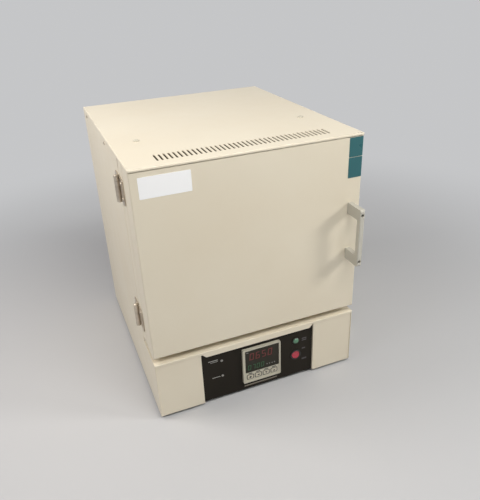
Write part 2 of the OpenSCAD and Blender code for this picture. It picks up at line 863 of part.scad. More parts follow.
module pilot_lamp_lens() {
    r = lamp_r - 1.2;
    color("#4f8a5c") place() translate([switch_x, panel_y - 1.9, lamp_z]) {
        rod_y(0, 0, lamp_hole_r - 0.9, -eps, 15);
        intersection() {
            translate([0, r * 0.6, 0]) sphere(r = r * 1.2, $fn = curve);
            rod_y(0, 0, r, -r, 0);
        }
    }
}

// Round body of the mains switch
module switch_bezel() {
    color("#1d1c1a") place() difference() {
        union() {
            rod_y(switch_x, switch_z, switch_r, panel_y - 2, panel_y - lap_gap / 4);
            rod_y(switch_x, switch_z, switch_hole_r, panel_y - 1, panel_y + 20);
        }
        rod_y(switch_x, switch_z, rocker_r + control_gap / 2, panel_y - 3, panel_y + 8);
        rocker_pivot(pivot_r + pin_gap, switch_r);
    }
}

// Pin along X that the rocker turns on, or the bore it turns in
module rocker_pivot(r, reach) {
    translate([switch_x - reach, pivot_y, switch_z]) rotate([0, 90, 0])
        cylinder(r = r, h = 2 * reach, $fn = curve);
}

// Rocker: two slanted halves that meet over the pivot, small enough to clear
// the bezel's bore in both settings
module switch_rocker() {
    w = rocker_r * 1.25;
    drum_r = (rocker_r - 6.2 * sin(rocker_angle / 2)) / cos(rocker_angle / 2) - control_gap / 4;
    color("#a8202e") place() {
        translate([switch_x, pivot_y, switch_z]) rotate([-rocker_angle / 2, 0, 0]) intersection() {
            rod_y(0, 0, drum_r, -12, 6);
            along_x(-w, w)
                polygon([[-4.6, -rocker_r * 1.1], [-3.6, 0], [-4.6, rocker_r * 1.1],
                    [1, rocker_r * 0.55], [2.5, 0], [1, -rocker_r * 0.55]]);
        }
        rocker_pivot(pivot_r, switch_hole_r - 0.3);
    }
}

// Two small indicator lamps on the left of the panel
module indicators() {
    color("#5c5a50") place()
        for (i = [0, 1]) {
            z = indicator_z + i * indicator_pitch;
            translate([indicator_x, 0, z]) intersection() {
                rod_y(0, 0, indicator_r, panel_y - indicator_r, panel_y + 8);
                translate([0, panel_y + indicator_r, 0]) union() {
                    sphere(r = indicator_r * 1.6, $fn = curve);
                    rod_y(0, 0, indicator_r * 1.2, -indicator_r, 8);
                }
            }
        }
}

// Solid-state relay and the finned plate that cools it
module heat_sink() {
    color("#b3b5b8") place() translate([sink_x - sink_w / 2, sink_y - sink_d / 2, sheet + lap_gap / 2]) {
        cube([sink_w, sink_d, sink_base]);
        for (i = [0:fin_count - 1])
            translate([i * (sink_w - fin_t) / (fin_count - 1), 0, sink_base - eps])
                cube([fin_t, sink_d, fin_h]);
    }
}

module relay() {
    color("#33322e") place()
        translate([sink_x, sink_y, sheet + lap_gap + sink_base + fin_h]) difference() {
            translate([-22, -29, 0]) cube([44, 58, 24]);
            for (y = [-23, 23])
                translate([0, y, -1]) cylinder(r = 2.2, h = 30, $fn = curve);
        }
}

module terminal_block() {
    color("#d8d4c6") place() translate([gland_x, body_d - 90, sheet + lap_gap / 2])
        difference() {
            translate([-32, -11, 0]) cube([64, 22, 18]);
            for (i = [0:3], y = [-6, 6])
                translate([-24 + i * 16, y, 8]) cylinder(r = 3, h = 12, $fn = curve);
        }
}

// Gland on the back panel that grips the mains cable
module cable_gland() {
    y = body_d + lap_gap / 2;
    hex_r = gland_thread_r + 4;
    color("#2a2a2a") place() translate([gland_x, y, gland_z]) rotate([-90, 0, 0]) difference() {
        union() {
            translate([0, 0, -9]) cylinder(r = gland_thread_r, h = 9 + sheet + 1, $fn = curve);
            translate([0, 0, -6.5]) cylinder(r = hex_r, h = 5, $fn = 6);
            translate([0, 0, sheet + lap_gap / 2]) cylinder(r = hex_r, h = 5, $fn = 6);
            translate([0, 0, sheet + 5]) cylinder(r = gland_thread_r + 1, h = gland_len - 9, $fn = curve);
            translate([0, 0, sheet + gland_len - 4 - eps])
                cylinder(r1 = gland_thread_r + 1, r2 = gland_bore_r + 1.5, h = 4, $fn = curve);
        }
        translate([0, 0, -10]) cylinder(r = gland_bore_r, h = gland_len + 20, $fn = curve);
    }
}

// Door-operated switch, fixed behind the front frame
module door_switch() {
    y0 = frame_front + frame_t + lap_gap / 2;
    color("#34332f") place() difference() {
        block([plunger_x - 8, y0, plunger_z - 15], [plunger_x + 8, y0 + 28, plunger_z + 15]);
        rod_y(plunger_x, plunger_z, plunger_r + pin_gap, y0 - 1, y0 + 22);
    }
}

module switch_plunger() {
    color("#d9d6cc") place() {
        rod_y(plunger_x, plunger_z, plunger_r, door_back + 1.3 + lap_gap, frame_front + frame_t + 18);
        translate([plunger_x, door_back + 1.5 + lap_gap, plunger_z])
            rotate([90, 0, 0]) cylinder(r1 = plunger_r, r2 = plunger_r - 1, h = 1.2, $fn = curve);
    }
}

catch_x = chamber_w / 2 + 85;
catch_h = 50;

// Magnet that holds the door shut, and the plate it pulls
module catch_magnet() {
    color("#3c3b38") place() {
        block([catch_x - 6, door_back + 1.8, door_mid - catch_h / 2],
            [catch_x + 6, frame_front - lap_gap / 2, door_mid + catch_h / 2]);
        rod_y(catch_x, door_mid, screw_r, frame_front - 1, frame_front + frame_t);
    }
}

module strike_plate() {
    color("#c4c4c0") place()
        block([catch_x - 7, door_back + lap_gap / 2, door_mid - catch_h / 2 - 3],
            [catch_x + 7, door_back + 1.5, door_mid + catch_h / 2 + 3]);
}

// Knuckles of one hinge half: parity 0 takes the outer ones
module hinge_knuckles(parity) {
    for (i = [0:knuckles - 1])
        if (i % 2 == parity)
            translate([0, 0, -hinge_h / 2 + i * knuckle_pitch + knuckle_gap / 2])
                cylinder(r = knuckle_r, h = knuckle_pitch - knuckle_gap, $fn = curve);
}

// Room for the other half's knuckles
module hinge_room(parity) {
    for (i = [0:knuckles - 1])
        if (i % 2 != parity)
            translate([0, 0, -hinge_h / 2 + i * knuckle_pitch - knuckle_gap / 2])
                cylinder(r = knuckle_r + 0.6, h = knuckle_pitch + knuckle_gap, $fn = curve);
}

// One half of a hinge about its pin, with the leaf on side s of it along Y
module hinge_half(parity, s) {
    face = hinge_out - lap_gap / 4;
    reach = leaf_gap + leaf_w;
    difference() {
        union() {
            hinge_knuckles(parity);
            difference() {
                translate([face - leaf_t, 0, 0]) rotate([90, 0, 90]) linear_extrude(leaf_t)
                    translate([s * (reach / 2 + 1), 0]) round_rect(reach - 2, hinge_h, 5);
                hinge_room(parity);
            }
            // Webs between the leaf and its own knuckles
            for (i = [0:knuckles - 1])
                if (i % 2 == parity)
                    translate([0, s > 0 ? 0 : -leaf_gap - 3,
                        -hinge_h / 2 + i * knuckle_pitch + knuckle_gap / 2])
                        translate([face - leaf_t, 0, 0])
                            cube([leaf_t, leaf_gap + 3, knuckle_pitch - knuckle_gap]);
        }
        translate([0, 0, -hinge_h]) cylinder(r = pin_r + pin_gap, h = 2 * hinge_h, $fn = curve);
        for (z = [-1, 1])
            translate([0, s * (leaf_gap + leaf_w * 0.55), z * hinge_h * 0.3]) rotate([0, 90, 0])
                cylinder(r = screw_r + 0.2, h = 40, $fn = curve);
    }
    // Screws of the leaf
    for (z = [-1, 1])
        translate([face - leaf_t, s * (leaf_gap + leaf_w * 0.55), z * hinge_h * 0.3])
            rotate([0, -90, 0]) screw(leaf_t);
}

module hinge_upper_fixed() {
    color("#c6c3ba") place() translate([hinge_x, hinge_y, hinge_zs[1]]) hinge_half(0, 1);
}

module hinge_lower_fixed() {
    color("#c6c3ba") place() translate([hinge_x, hinge_y, hinge_zs[0]]) hinge_half(0, 1);
}

module hinge_upper_moving() {
    color("#c6c3ba") place() translate([hinge_x, hinge_y, hinge_zs[1]]) hinge_half(1, -1);
}

module hinge_lower_moving() {
    color("#c6c3ba") place() translate([hinge_x, hinge_y, hinge_zs[0]]) hinge_half(1, -1);
}

// Pins of both hinges, with their domed heads
module hinge_pins() {
    color("#d4d2cb") place()
        for (z = hinge_zs)
            translate([hinge_x, hinge_y, z]) {
                translate([0, 0, -hinge_h / 2]) cylinder(r = pin_r, h = hinge_h, $fn = curve);
                for (s = [0, 1])
                    mirror([0, 0, s]) translate([0, 0, hinge_h / 2]) intersection() {
                        cylinder(r = knuckle_r - 0.5, h = 2, $fn = curve);
                        translate([0, 0, 2 - knuckle_r * 1.3]) sphere(r = knuckle_r * 1.3, $fn = curve);
                    }
            }
}

// Outer shell of the door: a deep pan, folded in at the back
module door_shell() {
    r = bend_r;
    in = sheet;
    deep = groove_depth + 2;
    color("#dcd5c0") place() difference() {
        soft_front(-half_w, half_w, 0, shell_d, door_bottom, door_top, r);
        block([-half_w + in, in, door_bottom + in], [half_w - in, shell_d - in, door_top - in]);
        block([-half_w + deep, shell_d - in - 1, door_bottom + deep],
            [half_w - deep, shell_d + 1, door_top - deep]);
        for (z = handle_leg_zs)
            rod_y(handle_x + handle_w / 2, z, screw_r + 0.2, -1, in + 1);
    }
}

handle_leg_zs = [handle_z + leg_h / 2, handle_z + handle_h - leg_h / 2];

// Inner pan of the door, with the neck that enters the outer shell
module door_inner_pan() {
    x = half_w - pan_inset;
    neck = half_w - groove_depth - 2 - lap_gap;
    y0 = shell_d + groove_w;
    dz = neck - x;
    color("#c9c3b2") place() difference() {
        union() {
            block([-x, y0, door_bottom + pan_inset], [x, door_back, door_top - pan_inset]);
            block([-neck, shell_d - 8, door_bottom + pan_inset - dz],
                [neck, y0 + 1, door_top - pan_inset + dz]);
        }
        block([-neck + sheet, shell_d - 9, door_bottom + pan_inset - dz + sheet],
            [neck - sheet, y0 + sheet + 0.5, door_top - pan_inset + dz - sheet]);
        block([-x + sheet, y0 + sheet, door_bottom + pan_inset + sheet],
            [x - sheet, door_back - sheet, door_top - pan_inset - sheet]);
    }
}

// Fibre block that fills the door
module door_insulation() {
    x = half_w - groove_depth - 2 - lap_gap - sheet - brick_gap;
    dz = half_w - x;
    color("#f3f0e8") place()
        block([-x, sheet + brick_gap, door_bottom + dz], [x, door_back - sheet - brick_gap, door_top - dz]);
}

// Refractory plug that fills the chamber's mouth when the door is shut
module door_plug() {
    w = chamber_w / 2 - plug_gap;
    h = chamber_h / 2 - plug_gap;
    y0 = door_back + lap_gap / 2;
    y1 = door_back + plug_depth;
    color("#e9e3d6") place() hull() {
        block([-w, y0, door_mid - h], [w, frame_y + 4, door_mid + h]);
        block([-w + plug_taper, y1 - 1, door_mid - h + plug_taper],
            [w - plug_taper, y1, door_mid + h - plug_taper]);
    }
}

// Rope seal round the plug
module door_seal() {
    x = chamber_w / 2 + rim + 14;
    z = chamber_h / 2 + rim + 14;
    r = 12;
    y = door_back + seal_r + lap_gap / 2;
    color("#ddd9ce") place() translate([0, y, door_mid]) {
        for (s = [-1, 1]) {
            translate([s * x, 0, -z + r]) cylinder(r = seal_r, h = 2 * (z - r), $fn = curve);
            translate([-x + r, 0, s * z]) rotate([0, 90, 0]) cylinder(r = seal_r, h = 2 * (x - r), $fn = curve);
        }
        for (a = [0:3])
            translate([(a == 0 || a == 3 ? 1 : -1) * (x - r), 0, (a < 2 ? 1 : -1) * (z - r)])
                rotate([90, 0, 0]) rotate(a * 90) rotate_extrude(angle = 90, $fn = curve)
                    translate([r, 0]) circle(seal_r, $fn = curve);
    }
}

// Bow handle with square legs and a straight grip
module handle() {
    y0 = -handle_out;
    r = 5;
    color("#b9b7ae") place() difference() {
        intersection() {
            along_x(handle_x, handle_x + handle_w) difference() {
                translate([y0, handle_z]) handle_outline(handle_out - lap_gap / 2, handle_h, r);
                translate([y0 + grip_t, handle_z + leg_h])
                    handle_outline(handle_out * 2, handle_h - 2 * leg_h, r - 1);
            }
            along_z(handle_z, handle_z + handle_h)
                front_round(handle_x, handle_x + handle_w, y0, 0, 2.5);
        }
        for (z = handle_leg_zs) {
            rod_y(handle_x + handle_w / 2, z, screw_recess_r, y0 - 1, y0 + 8);
            rod_y(handle_x + handle_w / 2, z, screw_r + 0.2, y0 - 1, 1);
        }
    }
}

// Side view of the handle's outer or inner line: rounded at its front end
module handle_outline(d, h, r) {
    translate([0, h / 2]) rotate(-90) front_round(-h / 2, h / 2, 0, d, r);
}

module handle_screws() {
    color("#4a4945") place()
        for (z = handle_leg_zs)
            translate([handle_x + handle_w / 2, -handle_out + 8, z]) rotate([90, 0, 0]) {
                difference() {
                    cylinder(r = screw_recess_r - 0.3, h = 3.5, $fn = curve);
                    translate([0, 0, 1.5]) cylinder(r = 1.7, h = 3, $fn = 6);
                }
                translate([0, 0, -(handle_out - 8 + sheet)])
                    cylinder(r = screw_r, h = handle_out - 8 + sheet + eps, $fn = curve);
            }
}

side_panel_left();
side_panel_right();
base_floor();
feet();
shelf_tray();
front_fascia();
control_panel();
rear_panel();
top_cover();
casing_screws();
front_frame();
inner_case();
hearth_block();
roof_block();
side_block_left();
side_block_right();
rear_block();
backing_bottom();
backing_top();
backing_left();
backing_right();
backing_rear();
element_left();
element_right();
terminal_bushes();
element_terminals();
thermocouple();
thermocouple_head();
controller_bezel();
controller_case();
controller_lens();
key_1();
key_2();
key_3();
key_4();
pilot_lamp_bezel();
pilot_lamp_lens();
switch_bezel();
switch_rocker();
indicators();
relay();
heat_sink();
terminal_block();
cable_gland();
door_switch();
switch_plunger();
catch_magnet();
hinge_upper_fixed();
hinge_lower_fixed();
hinge_pins();
hinge_upper_moving();
hinge_lower_moving();
door_shell();
door_inner_pan();
door_insulation();
door_plug();
door_seal();
strike_plate();
handle();
handle_screws();
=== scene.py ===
import math

import bmesh
import bpy
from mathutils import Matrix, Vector


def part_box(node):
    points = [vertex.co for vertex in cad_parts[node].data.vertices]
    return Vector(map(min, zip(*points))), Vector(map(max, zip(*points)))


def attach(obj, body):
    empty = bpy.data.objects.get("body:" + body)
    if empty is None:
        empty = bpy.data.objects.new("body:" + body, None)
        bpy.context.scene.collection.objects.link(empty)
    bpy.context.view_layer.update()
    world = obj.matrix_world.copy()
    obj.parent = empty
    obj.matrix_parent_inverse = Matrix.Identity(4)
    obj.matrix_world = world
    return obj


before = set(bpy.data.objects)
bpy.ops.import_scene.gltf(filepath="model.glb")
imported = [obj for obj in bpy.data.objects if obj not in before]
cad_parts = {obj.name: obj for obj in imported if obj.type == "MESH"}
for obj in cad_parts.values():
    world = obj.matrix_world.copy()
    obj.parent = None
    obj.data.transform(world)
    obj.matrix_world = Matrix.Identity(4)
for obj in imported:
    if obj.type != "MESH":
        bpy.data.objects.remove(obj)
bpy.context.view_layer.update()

scene = bpy.context.scene
scene.view_settings.view_transform = "Standard"


# Camera
# The photograph's own viewpoint: in front of the kiln, to its left and above
# it, found by fitting the casing's straight edges.
shift_x = 5.6
shift_y = -264.8
foot_height = 8


def on_kiln(x, y, z):
    """A point in millimetres from the base's front edge and underside, in metres in the frame."""
    return Vector(((x + shift_x) / 1000, (y + shift_y) / 1000, (z + foot_height) / 1000))


camera = bpy.data.objects.new("camera", bpy.data.cameras.new("camera"))
camera.data.lens = 38.735
camera.data.sensor_width = 36
camera.data.clip_start = 0.05
camera.data.clip_end = 200
camera.location = on_kiln(-387.4, -912.4, 894.6)
camera.rotation_euler = (1.08476, 0.03907, -0.38626)
scene.collection.objects.link(camera)
scene.camera = camera


# Floor and light
# A plain pale floor that runs into an even pale distance. The main lamp is high
# in front, one low on the right throws the handle's shadow, weaker ones stand
# above and on the left, and a faint sky fills the shade.
def new_material(name):
    made = bpy.data.materials.new(name)
    made.use_nodes = True
    return made, made.node_tree, made.node_tree.nodes["Principled BSDF"]


def mesh_object(name, bm, material, smooth=False):
    mesh = bpy.data.meshes.new(name)
    bm.normal_update()
    bm.to_mesh(mesh)
    bm.free()
    if smooth:
        mesh.shade_smooth()
    mesh.materials.append(material)
    made = bpy.data.objects.new(name, mesh)
    scene.collection.objects.link(made)
    return made


def seen_ray(tree):
    """One for rays that show a background: camera, glossy and transmission."""
    path = tree.nodes.new("ShaderNodeLightPath")
    seen = path.outputs["Is Camera Ray"]
    for label in ("Is Glossy Ray", "Is Transmission Ray"):
        either = tree.nodes.new("ShaderNodeMath")
        either.operation = "MAXIMUM"
        tree.links.new(seen, either.inputs[0])
        tree.links.new(path.outputs[label], either.inputs[1])
        seen = either.outputs[0]
    return seen


distance_grey = (0.56, 0.565, 0.575, 1)
fade_start = 0.5
fade_end = 1.7
floor_half = 60
floor_paint, tree, shader = new_material("pale floor")
shader.inputs["Base Color"].default_value = (0.55, 0.55, 0.56, 1)
shader.inputs["Roughness"].default_value = 0.75
spot = tree.nodes.new("ShaderNodeTexCoord")
reach = tree.nodes.new("ShaderNodeVectorMath")
reach.operation = "LENGTH"
tree.links.new(spot.outputs["Object"], reach.inputs[0])
far_off = tree.nodes.new("ShaderNodeMapRange")
far_off.interpolation_type = "SMOOTHSTEP"
far_off.inputs["From Min"].default_value = fade_start
far_off.inputs["From Max"].default_value = fade_end
tree.links.new(reach.outputs["Value"], far_off.inputs["Value"])
seen_far = tree.nodes.new("ShaderNodeMath")
seen_far.operation = "MULTIPLY"
tree.links.new(far_off.outputs["Result"], seen_far.inputs[0])
tree.links.new(seen_ray(tree), seen_far.inputs[1])
distance = tree.nodes.new("ShaderNodeEmission")
distance.inputs["Color"].default_value = distance_grey
blend = tree.nodes.new("ShaderNodeMixShader")
tree.links.new(seen_far.outputs[0], blend.inputs[0])
tree.links.new(shader.outputs["BSDF"], blend.inputs[1])
tree.links.new(distance.outputs["Emission"], blend.inputs[2])
tree.links.new(blend.outputs["Shader"], tree.nodes["Material Output"].inputs["Surface"])
bm = bmesh.new()
bmesh.ops.create_grid(bm, x_segments=2, y_segments=2, size=floor_half)
floor = mesh_object("floor", bm, floor_paint)

sky_strength = 0.16
world = bpy.data.worlds.new("studio sky")
scene.world = world
world.use_nodes = True
sky = world.node_tree
sky.nodes["Background"].inputs["Color"].default_value = (0.93, 0.95, 1.0, 1)
sky.nodes["Background"].inputs["Strength"].default_value = sky_strength
distance = sky.nodes.new("ShaderNodeBackground")
distance.inputs["Color"].default_value = distance_grey
blend = sky.nodes.new("ShaderNodeMixShader")
sky.links.new(seen_ray(sky), blend.inputs[0])
sky.links.new(sky.nodes["Background"].outputs["Background"], blend.inputs[1])
sky.links.new(distance.outputs["Background"], blend.inputs[2])
sky.links.new(blend.outputs["Shader"], sky.nodes["World Output"].inputs["Surface"])

# Each lamp: place and aim in metres, width and height in metres, watts, colour
for name, place, aim, width, height, power, colour in (
    ("front lamp", (0.1, -1.25, 1.95), (0.0, 0.0, 0.45), 1.4, 0.35, 21, (1.0, 0.985, 0.95)),
    ("key lamp", (1.65, -1.25, 1.3), (0.0, 0.0, 0.35), 0.6, 0.6, 18, (1.0, 0.985, 0.94)),
    ("top lamp", (0.0, 0.6, 2.6), (0.0, 0.0, 0.5), 1.6, 1.6, 4, (1.0, 0.98, 0.95)),
    ("side lamp", (-1.05, 0.15, 1.4), (-0.1, 0.0, 0.5), 0.6, 0.6, 11, (1.0, 0.955, 0.91)),
    ("fill lamp", (-1.9, -0.8, 1.6), (0.0, 0.0, 0.35), 1.2, 1.2, 8, (1.0, 0.97, 0.94)),
):
    lamp = bpy.data.objects.new(name, bpy.data.lights.new(name, "AREA"))
    lamp.data.shape = "ELLIPSE"
    lamp.data.size = width
    lamp.data.size_y = height
    lamp.data.energy = power
    lamp.data.color = colour
    lamp.location = place
    lamp.rotation_euler = (Vector(aim) - Vector(place)).to_track_quat("-Z", "Y").to_euler()
    scene.collection.objects.link(lamp)


# Casing sheets
# Folded steel sheets with a baked cream powder coat: the side panels, cover,
# shelf, fascia, back, front frame and the door's two pans. The coat has a fine
# orange peel and is a little uneven in tone.
def new_effect(name, inputs, outputs):
    group = bpy.data.node_groups.new(name, "ShaderNodeTree")
    for label, kind, value in inputs:
        socket = group.interface.new_socket(name=label, in_out="INPUT", socket_type=kind)
        socket.default_value = value
    for label, kind in outputs:
        group.interface.new_socket(name=label, in_out="OUTPUT", socket_type=kind)
    return group, group.nodes.new("NodeGroupInput"), group.nodes.new("NodeGroupOutput")


def scaled(tree, source, low, high):
    """Stretches a noise value from its usual 0.3 to 0.7 to the given range."""
    node = tree.nodes.new("ShaderNodeMapRange")
    node.inputs["From Min"].default_value = 0.3
    node.inputs["From Max"].default_value = 0.7
    node.inputs["To Min"].default_value = low
    node.inputs["To Max"].default_value = high
    tree.links.new(source, node.inputs["Value"])
    return node.outputs["Result"]


def noise(tree, scale, detail=2.0):
    """Noise on Object coordinates; scale is in cells per metre or a socket."""
    place = tree.nodes.new("ShaderNodeTexCoord")
    node = tree.nodes.new("ShaderNodeTexNoise")
    node.inputs["Detail"].default_value = detail
    tree.links.new(place.outputs["Object"], node.inputs["Vector"])
    if isinstance(scale, (int, float)):
        node.inputs["Scale"].default_value = scale
    else:
        tree.links.new(scale, node.inputs["Scale"])
    return node.outputs["Fac"]


def mixed(tree, factor, first, second):
    """Mixes two colours; each is a socket or a colour."""
    node = tree.nodes.new("ShaderNodeMix")
    node.data_type = "RGBA"
    for source, slot in ((factor, 0), (first, 6), (second, 7)):
        if isinstance(source, bpy.types.NodeSocket):
            tree.links.new(source, node.inputs[slot])
        else:
            node.inputs[slot].default_value = source
    return node.outputs[2]


def dress(material, *names):
    """Gives the solids with these names a material."""
    for name in names:
        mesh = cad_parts[name].data
        mesh.materials.clear()
        mesh.materials.append(material)


coat, entry, leave = new_effect(
    "baked coat",
    (
        ("Paint", "NodeSocketColor", (0.8, 0.7, 0.5, 1)),
        ("Shade", "NodeSocketColor", (0.7, 0.6, 0.4, 1)),
        ("Peel size", "NodeSocketFloat", 700.0),
        ("Gloss", "NodeSocketFloat", 0.4),
    ),
    (("Colour", "NodeSocketColor"), ("Roughness", "NodeSocketFloat"), ("Height", "NodeSocketFloat")),
)
patches = scaled(coat, noise(coat, 4.5, 4.0), 0.0, 1.0)
coat.links.new(
    mixed(coat, patches, entry.outputs["Paint"], entry.outputs["Shade"]), leave.inputs["Colour"]
)
coat.links.new(noise(coat, entry.outputs["Peel size"], 1.5), leave.inputs["Height"])
uneven = coat.nodes.new("ShaderNodeMath")
uneven.operation = "ADD"
coat.links.new(scaled(coat, noise(coat, 28.0, 3.0), -0.04, 0.05), uneven.inputs[0])
coat.links.new(entry.outputs["Gloss"], uneven.inputs[1])
coat.links.new(uneven.outputs[0], leave.inputs["Roughness"])


def coated(name, effect, values, bump=0.0001, specular=0.5, metallic=0.0):
    """A material whose colour, roughness and fine relief come from an effect."""
    made, tree, shader = new_material(name)
    group = tree.nodes.new("ShaderNodeGroup")
    group.node_tree = effect
    for label, value in values.items():
        group.inputs[label].default_value = value
    relief = tree.nodes.new("ShaderNodeBump")
    relief.inputs["Distance"].default_value = bump
    relief.inputs["Strength"].default_value = 1.0
    tree.links.new(group.outputs["Height"], relief.inputs["Height"])
    tree.links.new(group.outputs["Colour"], shader.inputs["Base Color"])
    tree.links.new(group.outputs["Roughness"], shader.inputs["Roughness"])
    tree.links.new(relief.outputs["Normal"], shader.inputs["Normal"])
    shader.inputs["Specular IOR Level"].default_value = specular
    shader.inputs["Metallic"].default_value = metallic
    return made


cream_coat = coated(
    "cream powder coat",
    coat,
    {
        "Paint": (0.765, 0.70, 0.565, 1),
        "Shade": (0.74, 0.665, 0.525, 1),
        "Peel size": 650.0,
        "Gloss": 0.42,
    },
)
dress(
    cream_coat,
    "side_panel_left",
    "side_panel_right",
    "shelf_tray",
    "front_fascia",
    "rear_panel",
    "top_cover",
    "front_frame",
    "door_shell",
    "door_inner_pan",
)


# Screw caps
# Two low domed caps of moulded plastic, pushed over the two screws in the cover's top. Their colour is a
# good deal darker than the casing's: painted shade, standing in for the shade on the low domes.
def low_dome(name, centre, radius, height, material, body):
    """A round cap with a domed face, its rim standing on the point centre."""
    bm = bmesh.new()
    arc_steps = 8
    round_steps = 36
    rim = 0.3
    dome = 0.7
    profile = [Vector((radius, 0, 0)), Vector((radius, 0, height * rim))]
    for i in range(1, arc_steps + 1):
        turn = math.pi / 2 * i / arc_steps
        profile.append(Vector((radius * math.cos(turn), 0, height * (rim + dome * math.sin(turn)))))
    verts = [bm.verts.new(point) for point in profile]
    edges = [bm.edges.new(pair) for pair in zip(verts, verts[1:])]
    bmesh.ops.spin(
        bm,
        geom=verts + edges,
        axis=(0, 0, 1),
        cent=(0, 0, 0),
        angle=2 * math.pi,
        steps=round_steps,
        use_merge=True,
    )
    bmesh.ops.remove_doubles(bm, verts=bm.verts, dist=1e-6)
    bmesh.ops.translate(bm, vec=centre, verts=bm.verts)
    bmesh.ops.recalc_face_normals(bm, faces=bm.faces)
    made = mesh_object(name, bm, material, smooth=True)
    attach(made, body)


# Darker than the casing: painted shade for the domes' shaded sides.
shaded_cap_paint = coated(
    "cap moulding with painted shade",
    coat,
    {"Paint": (0.56, 0.53, 0.43, 1), "Shade": (0.52, 0.49, 0.40, 1), "Peel size": 900.0, "Gloss": 0.35},
)
cap_radius = 0.0062
cap_height = 0.0034
cap_y = 173.6
cover_top = 585
for side, cap_x in (("left", -189.4), ("right", 189.4)):
    low_dome(
        f"screw_cap_{side}",
        on_kiln(cap_x, cap_y, cover_top),
        cap_radius,
        cap_height,
        shaded_cap_paint,
        "cabinet",
    )


# Vent screen, painted shade
# A strip of near-black woven wire cloth under the cover's row of slots. It lies against the sheet from
# below. Its dark colour is painted shade: it makes the slots look dark.
def thin_strip(name, low, high, material, body):
    """A strip between two corners in millimetres, with broken edges."""
    edge_break = 0.0001
    bm = bmesh.new()
    bmesh.ops.create_cube(bm, size=1)
    bmesh.ops.scale(bm, vec=[(b - a) / 1000 for a, b in zip(low, high)], verts=bm.verts)
    middle = on_kiln(*[(a + b) / 2 for a, b in zip(low, high)])
    bmesh.ops.translate(bm, vec=middle, verts=bm.verts)
    bmesh.ops.bevel(
        bm, geom=bm.edges[:], offset=edge_break, affect="EDGES", segments=1, profile=0.5, material=-1
    )
    made = mesh_object(name, bm, material)
    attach(made, body)


# Near-black: painted shade seen through the slots.
slot_shade_cloth = coated(
    "dark wire cloth, painted slot shade",
    coat,
    {"Paint": (0.06, 0.048, 0.03, 1), "Shade": (0.04, 0.032, 0.02, 1), "Peel size": 1500.0, "Gloss": 0.8},
    bump=0.0003,
    specular=0.1,
)
thin_strip("vent_screen_painted_shade", (-192, 22, 582.7), (192, 70, 583.3), slot_shade_cloth, "cabinet")


# Plated steel parts
# Zinc-plated sheet and turned parts: the base floor, inner case, hinges, pins,
# screws and strike plate. The plating has gone a little brown and has dull
# spots.
plating, entry, leave = new_effect(
    "zinc plating",
    (
        ("Bright", "NodeSocketColor", (0.7, 0.7, 0.68, 1)),
        ("Dull", "NodeSocketColor", (0.5, 0.5, 0.48, 1)),
        ("Grain", "NodeSocketFloat", 300.0),
        ("Gloss", "NodeSocketFloat", 0.3),
    ),
    (("Colour", "NodeSocketColor"), ("Roughness", "NodeSocketFloat"), ("Height", "NodeSocketFloat")),
)
clouds = scaled(plating, noise(plating, 60.0, 5.0), 0.0, 1.0)
plating.links.new(
    mixed(plating, clouds, entry.outputs["Bright"], entry.outputs["Dull"]), leave.inputs["Colour"]
)
plating.links.new(noise(plating, entry.outputs["Grain"], 3.0), leave.inputs["Height"])
uneven = plating.nodes.new("ShaderNodeMath")
uneven.operation = "ADD"
plating.links.new(scaled(plating, noise(plating, 90.0, 2.0), -0.06, 0.1), uneven.inputs[0])
plating.links.new(entry.outputs["Gloss"], uneven.inputs[1])
plating.links.new(uneven.outputs[0], leave.inputs["Roughness"])

zinc = coated(
    "bright zinc",
    plating,
    {"Bright": (0.67, 0.59, 0.485, 1), "Dull": (0.49, 0.425, 0.345, 1), "Grain": 900.0, "Gloss": 0.35},
    bump=0.00003,
    metallic=1.0,
)
dress(
    zinc,
    "hinge_upper_fixed",
    "hinge_lower_fixed",
    "hinge_upper_moving",
    "hinge_lower_moving",
    "hinge_pins",
    "strike_plate",
    "casing_screws",
)
dull_zinc = coated(
    "dull zinc sheet",
    plating,
    {"Bright": (0.55, 0.55, 0.53, 1), "Dull": (0.40, 0.40, 0.38, 1), "Grain": 500.0, "Gloss": 0.42},
    bump=0.00005,
    metallic=1.0,
)
dress(dull_zinc, "base_floor", "inner_case")


# Feet
# Four moulded rubber feet under the corners of the base. They are a dull black
# with a little dust on them.
rubber = coated(
    "foot rubber",
    coat,
    {"Paint": (0.022, 0.022, 0.022, 1), "Shade": (0.05, 0.05, 0.048, 1), "Peel size": 1500.0, "Gloss": 0.7},
    bump=0.00008,
    specular=0.3,
)
dress(rubber, "feet")


# Refractory lining
# Porous firebrick blocks round the chamber and on the door, with fibre boards
# behind them. Both are pressed ceramic, pale and quite matt.
porous, entry, leave = new_effect(
    "porous ceramic",
    (
        ("Body", "NodeSocketColor", (0.8, 0.75, 0.65, 1)),
        ("Pores", "NodeSocketColor", (0.5, 0.45, 0.38, 1)),
        ("Pore size", "NodeSocketFloat", 350.0),
    ),
    (("Colour", "NodeSocketColor"), ("Roughness", "NodeSocketFloat"), ("Height", "NodeSocketFloat")),
)
place = porous.nodes.new("ShaderNodeTexCoord")
cells = porous.nodes.new("ShaderNodeTexVoronoi")
porous.links.new(place.outputs["Object"], cells.inputs["Vector"])
porous.links.new(entry.outputs["Pore size"], cells.inputs["Scale"])
pits = porous.nodes.new("ShaderNodeMapRange")
pits.inputs["From Min"].default_value = 0.12
pits.inputs["From Max"].default_value = 0.34
porous.links.new(cells.outputs["Distance"], pits.inputs["Value"])
porous.links.new(
    mixed(porous, pits.outputs["Result"], entry.outputs["Pores"], entry.outputs["Body"]),
    leave.inputs["Colour"],
)
porous.links.new(pits.outputs["Result"], leave.inputs["Height"])
porous.links.new(scaled(porous, noise(porous, 40.0), 0.82, 0.98), leave.inputs["Roughness"])

